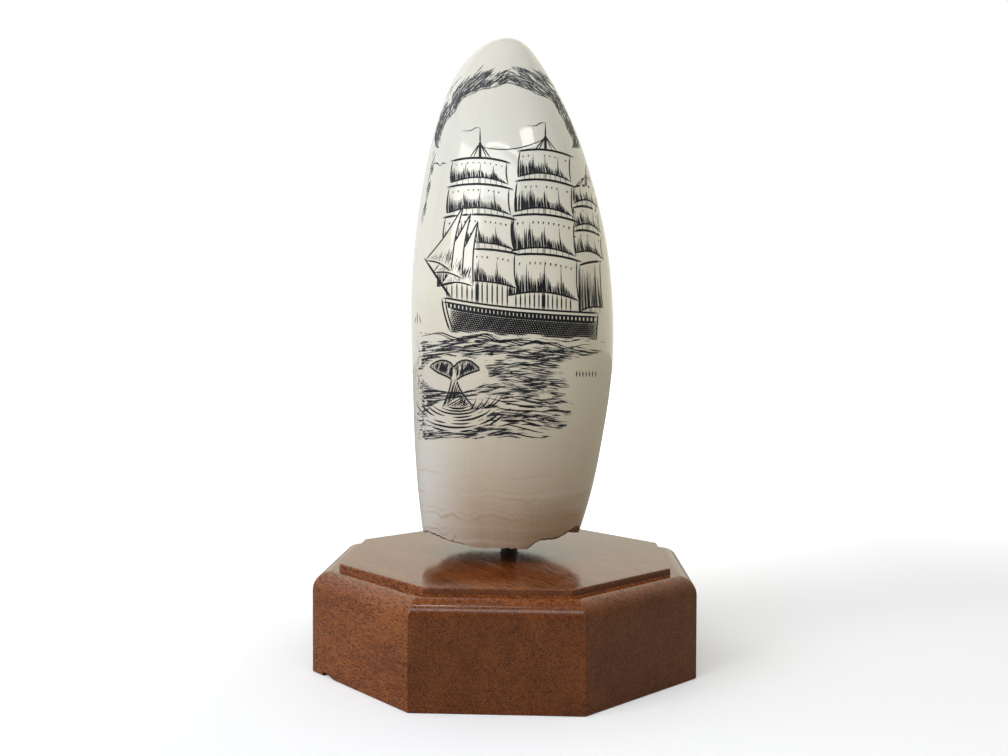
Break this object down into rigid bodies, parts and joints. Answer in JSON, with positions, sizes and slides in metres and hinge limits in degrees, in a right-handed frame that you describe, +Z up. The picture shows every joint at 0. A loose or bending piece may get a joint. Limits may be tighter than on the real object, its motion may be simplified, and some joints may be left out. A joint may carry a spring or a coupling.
{
  "type": "scrimshaw whale tooth",
  "caption": "Polished whale tooth engraved with an inked sailing scene, held upright by a short black rod over an octagonal moulded hardwood plinth.",
  "frame": {"origin": "centre of the plinth's underside", "axes": "+Z up along the tooth; the engraved face looks along -Y; +X to the right of a person facing the engraving"},
  "size_m": [0.1016, 0.1016, 0.1758],
  "materials": {
    "plinth_wood": "gloss",
    "rod_black": "satin",
    "ivory": "polished",
    "ink": "satin"
  },
  "bodies": {
    "root": {"base": "plinth_wood", "rod": "rod_black", "tooth": "ivory"}
  },
  "joints": []
}
